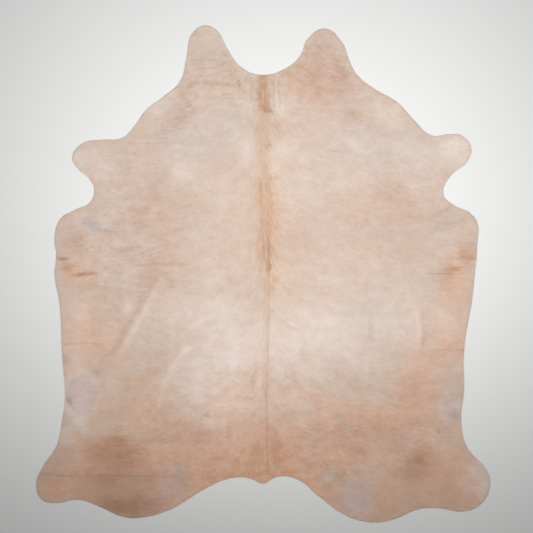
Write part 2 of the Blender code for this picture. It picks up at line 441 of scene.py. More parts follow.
# The coat's markings, by kind, with painted highlight and painted shade among them where noted. A
# patch is an oval, `across` and `along` its half sizes, turned by `tilt` degrees, and it fades out
# over the `soft` share of its half size. A streak follows a bowed line. Two kinds are no colours:
# the coat is more mottled, or longer and shaggy, where they lie.
Patch = namedtuple("Patch", "name x y across along strength soft tilt", defaults=(0.9, 0))
PATCHES = {
    "straw": [
        Patch("down the back", 60, 130, 140, 640, 0.6),
    ],
    "pale": [
        Patch("left loin", -190, -525, 340, 330, 0.8),
        Patch("middle of the loin", 0, -360, 300, 210, 0.5),
        Patch("whole loin", 60, -370, 620, 250, 0.3),
        Patch("left loin above", -330, -190, 300, 170, 0.3),
        Patch("right loin", 270, -265, 390, 250, 0.5),
        Patch("right belly", 645, -220, 260, 190, 0.5),
        Patch("left belly", -880, -340, 120, 290, 0.75),
        Patch("round the left thin hair", -860, -600, 110, 190, 0.8, 0.6, 4),
        Patch("left thin hair's low rim", -838, -652, 72, 44, 0.85, 0.8),
        Patch("round the right thin hair", 872, -615, 86, 110, 0.2, 0.4, -6),
        Patch("in the right thin hair", 834, -618, 26, 50, 0.2),
        Patch("right foreleg", 900, 580, 150, 110, 0.8),
        Patch("right shoulder", 600, 735, 150, 90, 0.5, 0.9, -40),
        Patch("left foreleg", -830, 545, 130, 110, 0.4),
        Patch("left neck side", -480, 800, 110, 60, 0.5, 0.9, 40),
        Patch("left shoulder", -385, 490, 90, 75, 0.35),
        Patch("left lobe top", -255, 1120, 80, 90, 0.3),
        Patch("right of the withers", 75, 780, 60, 120, 0.25),
        Patch("right shoulder diagonal", 440, 600, 110, 34, 0.4, 0.9, -36),
        Patch("left flank top", -860, 265, 70, 40, 0.4),
        Patch("right hind foot", 1000, -950, 130, 170, 0.6),
        Patch("right belly spot", 866, -218, 75, 100, 0.8),
        Patch("left thigh edge", -925, -768, 70, 80, 0.7),
        Patch("left belly high", -860, -180, 70, 90, 0.5),
        Patch("left rump, middle", -150, -640, 120, 140, 0.5),
        Patch("above the left hock", -830, -720, 110, 80, 0.5),
        Patch("left of the left hock", -868, -830, 60, 60, 0.4),
        Patch("right of the right hock", 850, -830, 60, 60, 0.4),
        Patch("right loin edge", 510, -430, 140, 80, 0.3),
        Patch("saddle's left", -240, -40, 100, 70, 0.25),
        Patch("upper back's right", 100, 600, 120, 70, 0.25),
        Patch("right shoulder low", 730, 550, 170, 100, 0.4),
        Patch("left of the strip", -80, 815, 75, 120, 0.3),
        Patch("left belly inside", -735, -310, 60, 80, 0.35),
        Patch("left of the loin", -180, -170, 150, 80, 0.3),
        Patch("right belly high", 842, -225, 65, 130, 0.7),
        Patch("low loin", -20, -590, 260, 90, 0.35),
        Patch("low loin, right", 180, -690, 60, 60, 0.3),
        Patch("right foot edge", 985, -1015, 100, 150, 0.65),
        Patch("left loin spot", -178, -195, 170, 130, 0.3),
        Patch("right loin low", 222, -463, 110, 80, 0.4),
        Patch("left of the upper back", -85, 600, 80, 130, 0.35),
        Patch("top of the upper back", 60, 500, 60, 110, 0.3),
        Patch("right shoulder top", 640, 600, 170, 60, 0.4),
        Patch("left armpit", -740, 470, 90, 120, 0.35),
        Patch("left flank inside", -720, -560, 80, 140, 0.35),
        Patch("loin, left middle", -210, -300, 150, 130, 0.3),
        Patch("rump, left middle", -200, -690, 120, 60, 0.5),
        Patch("left of the tail", -140, -620, 130, 110, 0.45),
        Patch("right foot tip", 1000, -990, 90, 120, 0.5),
        Patch("beside the long diagonal", -620, -165, 55, 60, 0.4),
        Patch("right of the saddle, low", 316, -40, 90, 60, 0.3),
        Patch("left loin outside", -474, -566, 70, 70, 0.35),
        Patch("right loin bottom", 180, -565, 110, 70, 0.3),
        Patch("right buttock rim", 435, -1090, 120, 90, 0.85),
        Patch("inner right buttock", 316, -965, 70, 60, 0.65),
        Patch("right buttock", 420, -1040, 140, 150, 0.5, 0.9, 20),
    ],
    "fawn": [
        # These two patches are partly the rump's warmer coat and partly painted shade that darkens the
        # hide towards the tail.
        Patch("whole rump", 0, -1010, 1150, 430, 0.72, 0.7),
        Patch("lower half", 0, -900, 1300, 620, 0.3, 1.0),
        Patch("right lower edge", 910, -800, 110, 330, 0.3),
        Patch("round the right hock", 760, -860, 170, 200, 0.35),
        Patch("left lower edge", -780, -640, 140, 190, 0.3),
        Patch("left buttock rim", -680, -1080, 170, 90, 0.9),
        Patch("left loin outside", -480, -580, 130, 280, 0.2),
        Patch("right rump high", 370, -660, 240, 120, 0.35),
        Patch("left side low", -840, 20, 140, 180, 0.25),
        Patch("left flank side", -740, -320, 190, 230, 0.25),
        Patch("right thigh side", 750, -560, 140, 420, 0.25),
        Patch("right foot inside", 842, -1050, 100, 90, 0.4),
        Patch("round the left hock", -710, -850, 180, 150, 0.5),
        Patch("left rump", -700, -960, 480, 260, 0.75, 0.8),
        Patch("middle of the rump", 20, -800, 320, 140, 0.3),
        Patch("right flank", 715, -520, 150, 260, 0.45),
        Patch("left flank", -610, -600, 170, 190, 0.3),
        Patch("right belly edge", 910, -40, 110, 230, 0.42, 0.9, -4),
        Patch("above the right flank", 940, 190, 44, 30, 0.25),
        Patch("under the right tuck", 861, -31, 60, 26, 0.25),
        Patch("left belly edge", -905, 10, 90, 110, 0.45),
        Patch("right belly low", 870, -300, 140, 270, 0.45),
        Patch("left belly low", -870, -300, 150, 320, 0.4),
        Patch("low loin", -120, -600, 420, 170, 0.25),
        Patch("neck", 250, 900, 260, 160, 0.3),
        Patch("right hock", 880, -924, 190, 170, 0.5),
        Patch("right rump", 575, -690, 300, 130, 0.6),
        Patch("left hind foot", -990, -1010, 110, 100, 0.75),
        Patch("inner left flank", -690, -370, 100, 200, 0.25),
        Patch("over the short diagonal", -372, -312, 18, 26, 0.3, 0.8),
        Patch("round the left tuck", -925, 40, 70, 50, 0.15),
        Patch("round the right tuck", 897, 24, 90, 28, 0.3, 0.8, 3),
        Patch("round the right flank edge", 955, 82, 90, 50, 0.5),
        Patch("right thigh low", 842, -700, 70, 70, 0.2),
        Patch("low loin's right", 120, -560, 130, 70, 0.2),
        Patch("inner right belly", 711, -171, 90, 80, 0.15),
        Patch("inside the right heel", 730, -1050, 100, 90, 0.2),
        Patch("right hind foot", 990, -1010, 80, 130, 0.3),
        Patch("left thigh", -870, -790, 80, 100, 0.22),
        Patch("low back", -40, -460, 110, 110, 0.25),
        Patch("right foot low", 960, -1075, 140, 90, 0.5),
        Patch("right loin low", 250, -570, 130, 80, 0.2),
        Patch("left rump high", -560, -695, 240, 80, 0.25),
        Patch("over the right flank spot", 838, -698, 30, 26, 0.5, 0.8),
    ],
    "golden": [
        Patch("along the back", 18, 270, 110, 420, 0.3),
        Patch("fan below the withers", 4, 640, 85, 90, 0.3),
        Patch("left of the fan", -14, 712, 40, 60, 0.5),
        Patch("right of the fan", 48, 690, 45, 52, 0.35),
        Patch("right of the back", 67, 265, 60, 140, 0.4),
        Patch("loin", 0, -420, 150, 120, 0.12),
        Patch("right of the saddle's foot", 50, -40, 42, 60, 0.5),
        Patch("right belly top", 850, 0, 80, 70, 0.35),
    ],
    "cloud": [
        Patch("right thin hair", 872, -615, 75, 110, 0.2, 0.8),
        Patch("left rump shade", -660, -1010, 270, 230, 0.6, 0.8),
        Patch("left side", -500, 200, 270, 340, 0.3),
        Patch("right side", 560, 215, 460, 200, 0.3),
        Patch("middle", 60, 200, 420, 230, 0.15),
        Patch("right rump shade", 575, -735, 210, 110, 0.35, 0.9, -20),
        Patch("right neck", 280, 900, 260, 210, 0.42),
        Patch("right lobe root", 385, 905, 60, 110, 0.4, 0.9, 20),
        Patch("right shoulder top", 415, 735, 70, 80, 0.35),
        Patch("right shoulder spot", 500, 700, 50, 40, 0.3),
        Patch("left neck", -405, 735, 80, 100, 0.5, 0.9, -30),
        Patch("left neck below", -440, 670, 70, 60, 0.35),
        Patch("right lobe", 292, 1074, 100, 90, 0.35),
        Patch("left of the back", -220, 510, 55, 100, 0.25),
        Patch("left shoulder low", -483, 440, 90, 140, 0.25),
        Patch("left armpit below", -685, 214, 70, 80, 0.25),
        Patch("left of the saddle, high", -200, 220, 70, 60, 0.25),
        Patch("right of the left hock", -590, -835, 90, 70, 0.2),
        Patch("left rump blotch", -492, -750, 80, 55, 0.45),
        Patch("right rump blotch", 410, -726, 90, 95, 0.4),
        Patch("right hock", 682, -924, 100, 100, 0.35),
        Patch("left buttock rim", -640, -1097, 190, 70, 0.55),
        Patch("right side spot", 600, 360, 150, 90, 0.25),
        Patch("left side low", -500, 60, 130, 130, 0.2),
        Patch("right side low", 680, 90, 150, 70, 0.25),
        Patch("left neck edge", -360, 870, 60, 60, 0.3),
        Patch("left shoulder middle", -330, 740, 60, 50, 0.3),
        Patch("right of the saddle", 150, 170, 160, 180, 0.2),
        Patch("right flank", 960, 80, 60, 120, 0.3),
        Patch("left shoulder", -510, 395, 95, 75, 0.3),
        Patch("left shoulder below", -600, 265, 110, 90, 0.3, 0.9, 20),
        Patch("right shoulder", 590, 405, 110, 90, 0.3),
        Patch("right armpit below", 660, 280, 110, 70, 0.2),
        Patch("left belly", -510, -40, 110, 150, 0.45),
        Patch("left side high", -370, 310, 210, 120, 0.2),
        Patch("right side high", 560, 350, 340, 70, 0.18),
        Patch("right thigh high", 715, -510, 90, 120, 0.2),
        Patch("right flank low", 850, -700, 60, 70, 0.25),
        Patch("inner left buttock", -490, -1090, 90, 60, 0.4),
        Patch("left buttock top", -474, -955, 70, 60, 0.3),
        Patch("left foreleg root", -474, 610, 70, 60, 0.3),
        Patch("right flank rim", 965, 72, 60, 40, 0.35),
        Patch("left belly top", -610, 95, 100, 50, 0.25),
        Patch("right tuck", 850, -20, 70, 50, 0.3),
        Patch("right thigh", 700, -560, 130, 120, 0.2),
        Patch("left tail streak", -160, -750, 22, 80, 0.35),
    ],
    "rust": [
        Patch("left of the tail", -45, -850, 55, 90, 0.25),
        Patch("right of the tail", 58, -830, 28, 130, 0.25),
        Patch("left flank patch", -893, 160, 56, 60, 0.35),
        Patch("left flank band", -640, 115, 90, 17, 0.4, 0.9, 6),
        # Painted shade along the left tuck's fold.
        Patch("left tuck", -945, 70, 44, 17, 0.85, 0.8),
        Patch("left tuck below", -912, 32, 42, 20, 0.4, 0.9, 8),
        Patch("left rust stroke", -842, -3, 86, 15, 0.85, 0.8, 2),
        Patch("left edge stain", -935, 32, 48, 42, 0.35),
        Patch("left hock haze", -710, -840, 190, 80, 0.45),
        # Painted shade along the right tuck's fold, in these two patches.
        Patch("right tuck", 897, 22, 64, 18, 0.8, 0.8, 3),
        Patch("right flank edge", 965, 73, 60, 12, 0.7, 0.8),
        Patch("left hock", -700, -870, 190, 120, 0.35),
        Patch("right hock", 738, -880, 115, 100, 0.38),
        Patch("left buttock shade", -650, -1095, 190, 75, 0.75, 0.9, 8),
        Patch("left hock's right", -620, -850, 110, 70, 0.2),
        Patch("left foot crease", -740, -965, 110, 50, 0.3),
        Patch("tail root", 40, -810, 90, 90, 0.2),
        Patch("right thigh blotch", 447, -830, 80, 60, 0.3),
        Patch("right flank blotch", 720, -700, 70, 60, 0.3),
        Patch("right hock inside", 760, -895, 130, 110, 0.15),
        Patch("left rump", -330, -760, 170, 70, 0.25, 0.9, 6),
        Patch("right rump", 330, -780, 220, 90, 0.25, 0.9, -6),
        Patch("right flank spot", 822, -742, 18, 18, 0.55, 0.8),
        Patch("left belly low", -935, -400, 30, 40, 0.3, 0.8),
        Patch("over the tail", -60, -940, 130, 16, 0.4, 0.9, 3),
        Patch("right shoulder top", 447, 750, 60, 50, 0.15),
        Patch("round the right tuck", 880, 60, 110, 70, 0.12),
        Patch("right flank corner", 978, 95, 50, 60, 0.25),
        Patch("left buttock's outer rim", -690, -1095, 130, 55, 0.35),
        Patch("under the right hock", 711, -965, 110, 60, 0.18),
        Patch("left hock core", -685, -795, 90, 55, 0.45),
    ],
    "brown": [
        Patch("withers strip's dark patch", 4, 885, 26, 36, 0.4),
        Patch("above the withers tick", 14, 778, 20, 16, 0.45, 0.8),
        Patch("left of the loin", -45, -500, 26, 110, 0.3),
        Patch("left hock spot", -680, -790, 40, 26, 0.3),
        Patch("right hock core", 733, -876, 42, 38, 0.4),
    ],
    "ash": [
        Patch("left shoulder top", -300, 620, 330, 200, 0.4),
        Patch("right shoulder top", 560, 590, 420, 190, 0.45),
        Patch("right loin", 527, -195, 270, 150, 0.3),
        Patch("left loin", -178, -195, 170, 130, 0.2),
        Patch("right of the back", 260, 400, 180, 320, 0.15),
        Patch("left of the neck", -100, 700, 130, 170, 0.15),
        Patch("left of the withers", -120, 745, 90, 100, 0.4),
        Patch("left buttock", -400, -990, 120, 160, 0.3),
        Patch("right side", 560, 215, 260, 80, 0.3),
        Patch("left side", -340, 215, 90, 90, 0.3),
        Patch("right buttock", 430, -1030, 150, 150, 0.4),
        Patch("left neck side", -440, 812, 70, 50, 0.4),
        Patch("inner right rump", 215, -820, 120, 130, 0.2),
        Patch("inner right buttock", 316, -950, 80, 90, 0.5),
        Patch("left of the saddle", -342, -40, 90, 60, 0.25),
        Patch("right buttock rim", 447, -1100, 80, 60, 0.5),
        Patch("right belly spot", 866, -218, 60, 90, 0.3),
    ],
    "lavender": [
        Patch("right buttock", 425, -1060, 160, 120, 0.4),
        Patch("right buttock rim", 425, -1120, 160, 70, 0.6),
        Patch("left thin hair's right side", -802, -570, 24, 60, 0.5, 0.8),
        Patch("over the right buttock", 510, -925, 120, 80, 0.45),
        Patch("left buttock", -465, -1010, 100, 130, 0.35),
        Patch("left thin hair", -845, -570, 80, 102, 0.75, 0.2, 6),
        Patch("left thin hair's top", -840, -520, 56, 72, 0.5, 0.3, 6),
        Patch("right thin hair", 862, -622, 62, 90, 0.55, 0.3, -6),
    ],
    "grey": [
        Patch("left thin hair's left corner", -905, -575, 26, 50, 0.2, 0.8, -12),
        Patch("right thin hair", 862, -612, 55, 70, 0.15),
        Patch("right thin hair's foot", 900, -665, 38, 42, 0.65, 0.8),
        Patch("left armpit", -808, 232, 92, 38, 0.65, 0.9, -22),
        Patch("left armpit end", -735, 203, 30, 18, 0.55, 0.9, -24),
        Patch("right armpit", 862, 235, 95, 45, 0.3, 0.9, 12),
        Patch("right armpit's low end", 825, 240, 45, 25, 0.25),
        Patch("left rump spot", -268, -662, 36, 14, 0.5, 0.8, -20),
        Patch("left rump spot above", -515, -557, 30, 26, 0.2),
        Patch("right rump spot", 352, -672, 28, 24, 0.6, 0.8, 20),
        Patch("left buttock", -410, -950, 60, 110, 0.2, 0.9, 12),
        Patch("left buttock dots", -420, -880, 20, 16, 0.4, 0.8),
        Patch("right buttock", 435, -1030, 80, 110, 0.1, 0.9, 20),
        Patch("right thigh spot", 447, -932, 34, 16, 0.5, 0.8),
        Patch("left foreleg smudge", -690, 526, 30, 12, 0.35, 0.8, -20),
        Patch("left foreleg smudge low", -648, 500, 30, 10, 0.4, 0.8, -14),
        Patch("left shoulder dot", -500, 728, 13, 11, 0.5, 0.8),
        Patch("left shoulder dot low", -497, 655, 16, 13, 0.5, 0.8),
        Patch("right shoulder dot", 593, 524, 13, 14, 0.45, 0.8),
        Patch("right foreleg dot", 730, 533, 15, 12, 0.3, 0.8),
    ],
    "mottled": [
        Patch("rump", 0, -990, 640, 230, 0.6, 0.8),
        Patch("lower body", 0, -720, 1150, 500, 0.35, 0.8),
        Patch("left side", -660, 80, 340, 650, 0.3, 0.8),
        Patch("neck", 20, 920, 700, 260, 0.45, 0.8),
    ],
    "shaggy": [
        Patch("left belly edge", -945, -510, 60, 150, 1.0, 0.7),
        Patch("right belly edge", 950, -500, 60, 200, 1.0, 0.7),
        Patch("tail tip", 0, -960, 60, 40, 1.0, 0.7),
        Patch("right armpit", 870, 390, 50, 70, 0.7, 0.7),
    ],
}
Streak = namedtuple("Streak", "name start_x start_y end_x end_y bow width strength")
STREAKS = {
    "pale": [
        # Painted highlight along a ridge beside the saddle.
        Streak("ridge beside the saddle", 35, 75, 34, -60, 0, 7, 0.5),
        Streak("right withers ridge", 61, 930, 62, 780, 0, 9, 0.4),
        Streak("thin hair's left rim", -918, -538, -850, -458, 6, 12, 0.75),
        Streak("thin hair's right rim", -838, -458, -766, -548, 8, 12, 0.75),
        Streak("thin hair's lower rim", -772, -570, -806, -655, 6, 11, 0.6),
        Streak("under the rust stroke", -745, -8, -640, -10, 2, 9, 0.25),
        # Painted highlight on the crests of folds, from here to the end of this list.
        Streak("over the shoulder crease", -610, 626, -440, 622, 2, 8, 0.3),
        Streak("long diagonal", -475, -25, -665, -360, 2, 27, 0.6),
        Streak("short diagonal", -352, -345, -462, -515, -14, 26, 0.5),
        Streak("short diagonal's top", -250, -190, -345, -252, 6, 18, 0.45),
        Streak("right belly ridge", 720, -180, 728, -345, 8, 17, 0.6),
    ],
    "fawn": [
        Streak("short diagonal's dash", -413, -252, -368, -252, 0, 7, 0.4),
    ],
    "golden": [
        Streak("withers strip, left side", -15, 930, -12, 785, 0, 24, 0.8),
        Streak("withers strip, middle", 2, 930, 4, 785, 0, 26, 0.9),
        Streak("withers strip, right side", 17, 930, 19, 785, 0, 24, 0.8),
        Streak("upper back", 6, 760, 10, 400, 0, 42, 0.42),
        Streak("middle of the back", 14, 430, 18, 60, 0, 56, 0.66),
        Streak("saddle", 18, 110, 20, -70, 0, 44, 0.6),
        Streak("loin", 12, -60, 10, -560, 0, 26, 0.22),
        Streak("golden back's left edge", -4, 370, 0, 140, 0, 24, 0.4),
        Streak("left golden fan", 8, 60, -70, -110, 10, 20, 0.3),
        Streak("right golden fan", 30, 40, 170, -120, -16, 22, 0.3),
        Streak("right lower fan", 30, -160, 150, -260, -10, 14, 0.3),
    ],
    "cloud": [
        Streak("outer left withers line", -59, 905, -57, 810, 1, 7, 0.5),
        Streak("inner left withers line", -45, 905, -44, 800, 1, 7, 0.4),
        Streak("right withers line", 50, 935, 51, 790, 0, 7, 0.45),
        Streak("outer right withers line", 73, 930, 75, 780, 0, 7, 0.4),
        Streak("right lobe diagonal", 338, 1000, 425, 870, 8, 30, 0.35),
        # Painted shade beside the ridges and along the folds, in these five streaks.
        Streak("beside the long diagonal", -530, -60, -705, -370, 2, 24, 0.4),
        Streak("beside the belly ridge", 745, -190, 748, -330, 6, 14, 0.3),
        Streak("right side fold", 500, -200, 508, -300, 0, 16, 0.3),
        Streak("right thigh fold", 348, -420, 350, -500, 0, 16, 0.25),
        Streak("right thigh's second fold", 505, -440, 508, -520, 0, 16, 0.25),
        Streak("armpit diagonal", 800, 270, 880, 312, 0, 13, 0.45),
    ],
    "rust": [
        Streak("withers strip's dark side", 10, 925, 14, 785, 0, 20, 0.35),
        Streak("withers strip's left side", -13, 925, -10, 785, 0, 24, 0.32),
        Streak("withers tick", 8, 764, 40, 763, 1, 12, 0.9),
        Streak("saddle line", 24, 190, 28, -10, 1, 20, 0.6),
        Streak("left saddle line", 4, 150, 4, 60, 0, 12, 0.55),
        Streak("loin line", 26, -20, 12, -600, 4, 7, 0.35),
        Streak("tail line", 12, -560, 20, -915, 2, 8, 0.4),
        Streak("thin hair's upper rim", -778, -478, -784, -450, 0, 8, 0.45),
        # Painted shade in the creases, in these four lines.
        Streak("left belly crease", -585, 42, -365, 40, 5, 9, 0.35),
        Streak("right shoulder line", 330, 578, 412, 572, -3, 7, 0.4),
        Streak("right flank line", 780, -360, 900, -360, 3, 6, 0.2),
        Streak("left flank line", -940, -328, -752, -330, 3, 7, 0.3),
    ],
    "brown": [
        Streak("withers strip's left edge", -26, 860, -22, 790, 0, 8, 0.4),
        Streak("left back strand", -10, 430, 8, 90, -6, 10, 0.25),
        Streak("right back strand", 30, 440, 32, 120, 4, 9, 0.25),
        Streak("neck band above", -345, 1000, -220, 1003, 4, 12, 0.25),
        Streak("neck band", -350, 892, -130, 886, 8, 14, 0.35),
        Streak("neck mark", -372, 848, -352, 820, 0, 6, 0.4),
        Streak("left neck diagonal", -392, 840, -330, 770, 6, 22, 0.3),
        Streak("left neck lower diagonal", -335, 765, -425, 690, -6, 24, 0.25),
        Streak("spine line", 16, 430, 20, 180, 2, 7, 0.35),
        Streak("loin diagonal", 95, -468, 165, -515, -4, 6, 0.35),
        Streak("back tick", 12, 592, 30, 608, 0, 9, 0.8),
        Streak("left loin tick", -428, -28, -426, -64, 0, 8, 0.5),
        Streak("thin hair's side", -790, -550, -768, -554, 0, 8, 0.85),
        # Painted shade at the end of the right flank crease.
        Streak("right flank line's end", 895, -360, 942, -358, 0, 8, 0.5),
    ],
    "grey": [
        Streak("right neck mark", 362, 832, 388, 800, 0, 9, 0.4),
        Streak("above the left flank tick", -918, -560, -880, -500, 6, 7, 0.4),
        Streak("under the left flank tick", -905, -608, -888, -640, 0, 7, 0.6),
        Streak("right thin hair's arch", 812, -600, 907, -596, 58, 11, 0.5),
        # Painted shade in the shoulder creases, in these two lines.
        Streak("left shoulder crease", -560, 616, -285, 606, 3, 7, 0.45),
        Streak("right shoulder crease", 151, 585, 330, 578, -3, 6, 0.2),
    ],
    "dark": [
        Streak("withers tick's core", 8, 764, 36, 763, 1, 9, 0.6),
        Streak("saddle core", 26, 160, 28, 20, 1, 11, 0.3),
        Streak("neck tick", -118, 908, -112, 884, 0, 8, 0.6),
        Streak("left flank tick", -914, -590, -906, -606, 0, 9, 0.9),
        Streak("left flank dot", -740, 212, -736, 196, 0, 5, 0.5),
        Streak("left tuck's shade", -968, 76, -925, 72, 0, 6, 0.5),
        Streak("rust stroke's core", -875, -6, -810, -5, 2, 6, 0.15),
        # Painted shade in the hind leg crease and the right belly crease, in the rest of this list.
        Streak("hind crease outside", -1052, -933, -906, -947, -4, 5, 0.35),
        Streak("hind crease inside", -906, -947, -295, -961, 6, 4, 0.25),
        Streak("hind crease end", -897, -942, -896, -970, 0, 3.5, 0.35),
        Streak("right belly line", 762, 2, 915, 1, 0, 5, 0.3),
        Streak("right belly line's middle", 830, 1, 880, 1, 0, 5, 0.3),
    ],
}

# The colour of each kind of marking, in the order in which they lie over the coat's own colour.
# Pale also paints highlight on the crests of folds; fawn, cloud, rust, brown, grey and dark also
# paint shade in creases, at the tucks and towards the tail, where the lists above note it.
COAT_AND_PAINTED_LIGHT_COLOURS = {
    "straw": (0.69, 0.54, 0.405),
    "pale": (0.81, 0.69, 0.60),
    "fawn": (0.765, 0.45, 0.29),
    "golden": (0.595, 0.385, 0.245),
    "cloud": (0.53, 0.34, 0.253),
    "rust": (0.50, 0.275, 0.165),
    "brown": (0.45, 0.265, 0.15),
    "ash": (0.60, 0.53, 0.475),
    "lavender": (0.70, 0.55, 0.485),
    "grey": (0.47, 0.41, 0.385),
    "dark": (0.26, 0.17, 0.12),
}
COAT = (0.65, 0.51, 0.412)
CREAM_TINT = (1.09, 1.20, 1.32)
TAN_TINT = (0.89, 0.77, 0.68)

# The markings wander by these lengths in lumps of these sizes, and small ones by less. The lay of
# the hair makes their borders ragged, to these shares of a patch's or a streak's half size.
WANDER = 16
WANDER_LUMP = 110
FINE_WANDER = 5
FINE_WANDER_LUMP = 27
FULL_WANDER_SIZE = 60
STREAK_WANDER = 0.12
PATCH_RAGGED = 0.18
PATCH_RAGGED_LENGTH = 9
STREAK_RAGGED = 0.4
STREAK_RAGGED_WIDTH = 50


def wandering(x, y, seed):
    """How far the markings wander one way."""
    broad = WANDER * clouds(x, y, WANDER_LUMP, seed)
    return broad + FINE_WANDER * clouds(x, y, FINE_WANDER_LUMP, seed + 1)


def markings(x, y, ragged):
    """How strongly each kind of marking shows at places, painted highlight and painted shade among them.
    `ragged` breaks up its borders.
    """
    shift_x = wandering(x, y, seed=21)
    shift_y = wandering(x, y, seed=23)
    bare = {kind: np.ones_like(x) for kind in [*PATCHES, *STREAKS]}
    for kind, patches in PATCHES.items():
        for patch in patches:
            size = min(patch.across, patch.along)
            wander = min(size / FULL_WANDER_SIZE, 1.0)
            off_x = x + wander * shift_x - patch.x
            off_y = y + wander * shift_y - patch.y
            turn = radians(patch.tilt)
            over = (off_x * cos(turn) + off_y * sin(turn)) / patch.across
            up = (off_y * cos(turn) - off_x * sin(turn)) / patch.along
            border = min(PATCH_RAGGED, PATCH_RAGGED_LENGTH / size) * patch.soft * ragged
            inside = 1 - np.hypot(over, up) + border
            bare[kind] *= 1 - patch.strength * faded(inside / patch.soft)
    x = x + STREAK_WANDER * shift_x
    y = y + STREAK_WANDER * shift_y
    for kind, streaks in STREAKS.items():
        for streak in streaks:
            distance, _ = bowed_line(streak, x, y)
            border = min(STREAK_RAGGED, streak.width / STREAK_RAGGED_WIDTH) * ragged
            inside = 1 - distance / streak.width + border
            bare[kind] *= 1 - streak.strength * faded(inside)
    return {kind: 1 - left for kind, left in bare.items()}


# How much of the swing from cream to tan the coat's clouds, mottles and flecks each make, how far
# it swings where the coat is plain and how much further where it is mottled, and its middle.
CLOUD_SHARE = 0.42
MOTTLE_SHARE = 0.85
FLECK_SHARE = 0.35
PLAIN_SWING = 0.72
MOTTLED_SWING = 1.25
USUAL_TAN = 0.45


def coat_and_painted_light_colour(place, streak_share):
    """The coat's colour with painted highlight and painted shade: its markings, mottled from cream to tan
    and streaked by the locks.
    """
    colour = COAT
    for kind, shade in COAT_AND_PAINTED_LIGHT_COLOURS.items():
        colour = place.blend(colour, shade, place.kept(kind))
    broad = place.noise((4.0, 6.0), detail=2.0, roughness=0.5) * CLOUD_SHARE
    mottle = broad + place.noise((18.0, 25.0), detail=3.0, roughness=0.6) * MOTTLE_SHARE
    flecks = place.noise((45.0, 80.0), detail=3.0, roughness=0.65) * FLECK_SHARE
    flecks = flecks + place.kept("streak") * streak_share
    middle = (CLOUD_SHARE + MOTTLE_SHARE + FLECK_SHARE + streak_share) / 2
    swing = place.kept("mottled") * MOTTLED_SWING + PLAIN_SWING
    share = (mottle + flecks - middle) * swing + USUAL_TAN
    return colour.tinted(place.blend(CREAM_TINT, TAN_TINT, share))


# How the hair lies: straight down the back to the tail, and out to the sides away from it. The
# band down the back is wider at the neck and the rump. The lay wanders by a few degrees.
LAY_TURN = radians(78)
BACK_WIDTH = 100
NECK_WIDENING = 70
NECK_START = 450
NECK_RUN = 500
RUMP_WIDENING = 150
RUMP_START = -800
RUMP_RUN = 250
LAY_WANDER = 0.16
LAY_WANDER_LUMP = 190
FINE_LAY_WANDER = 0.09
FINE_LAY_WANDER_LUMP = 60


def lay(x, y):
    """The hair's angle at places, from straight to the tail, turning to the right."""
    neck = faded((y - NECK_START) / NECK_RUN)
    rump = faded((RUMP_START - y) / RUMP_RUN)
    width = BACK_WIDTH + NECK_WIDENING * neck + RUMP_WIDENING * rump
    wander = LAY_WANDER * clouds(x, y, LAY_WANDER_LUMP, seed=31)
    wander += FINE_LAY_WANDER * clouds(x, y, FINE_LAY_WANDER_LUMP, seed=32)
    return LAY_TURN * x / np.hypot(x, width) + wander


SMEAR_MARGIN = 40


def smeared(cell, steps, seed):
    """Speckles that are smeared along the lay of the hair, and a way to read them at places."""
    low = rim.min(axis=0) - SMEAR_MARGIN
    columns, rows = (int(side) for side in (rim.max(axis=0) + SMEAR_MARGIN - low) / cell)
    row, column = np.mgrid[0:rows, 0:columns]
    speckle = np.random.default_rng(seed).normal(size=row.shape)
    angle = lay(low[0] + column * cell, low[1] + row * cell)
    total = speckle.copy()
    for way in (1.0, -1.0):
        at_x = column.astype(float)
        at_y = row.astype(float)
        for _ in range(steps):
            i = np.clip(np.rint(at_x), 0, columns - 1).astype(int)
            j = np.clip(np.rint(at_y), 0, rows - 1).astype(int)
            at_x += way * np.sin(angle[j, i])
            at_y -= way * np.cos(angle[j, i])
            total += speckle[j, i]
    total /= total.std()

    def read(x, y):
        i = np.clip(np.rint((x - low[0]) / cell), 0, columns - 1).astype(int)
        j = np.clip(np.rint((y - low[1]) / cell), 0, rows - 1).astype(int)
        return total[j, i]

    return read


fine_streaks = smeared(cell=3.0, steps=5, seed=41)
broad_streaks = smeared(cell=6.0, steps=4, seed=42)

# On the skin the hair's fine grain follows the lay. It is a sum of noises that are turned to each
# side by shares of LAY_TURN, and each shows where the lay is near its own way.
HAIR_LOOK = {"Roughness": 0.6, "Specular IOR Level": 0.4, "Sheen Weight": 0.08, "Sheen Roughness": 0.4}
GRAIN_WAYS = (-1.0, -0.5, 0.0, 0.5, 1.0)
GRAIN_WAY_GAP = 0.5
GRAIN_LIGHT = 0.24
GRAIN_SHADE = 0.85
SKIN_STREAK_SHARE = 0.3

ground_finish, shader, place = new_finish("short hair on the skin", HAIR_LOOK)
grain = 0.0
for way in GRAIN_WAYS:
    apart = (place.kept("lay") - way).maths("ABSOLUTE")
    share = (1.0 - apart * (1 / GRAIN_WAY_GAP)).maths("MAXIMUM", 0.0)
    hairs = place.turned(-way * LAY_TURN).noise((820.0, 55.0), detail=2.0, roughness=0.5)
    grain = hairs * share + grain
colour = coat_and_painted_light_colour(place, SKIN_STREAK_SHARE).shade(grain * GRAIN_LIGHT + GRAIN_SHADE)
feed(shader.inputs["Base Color"], colour)
feed(shader.inputs["Normal"], grain.bump(strength=0.5, depth=0.0006))

SUEDE = (0.60, 0.55, 0.47)
STAINED_SUEDE = (0.47, 0.42, 0.36)
NAP_LIGHT = 0.25
NAP_SHADE = 0.87

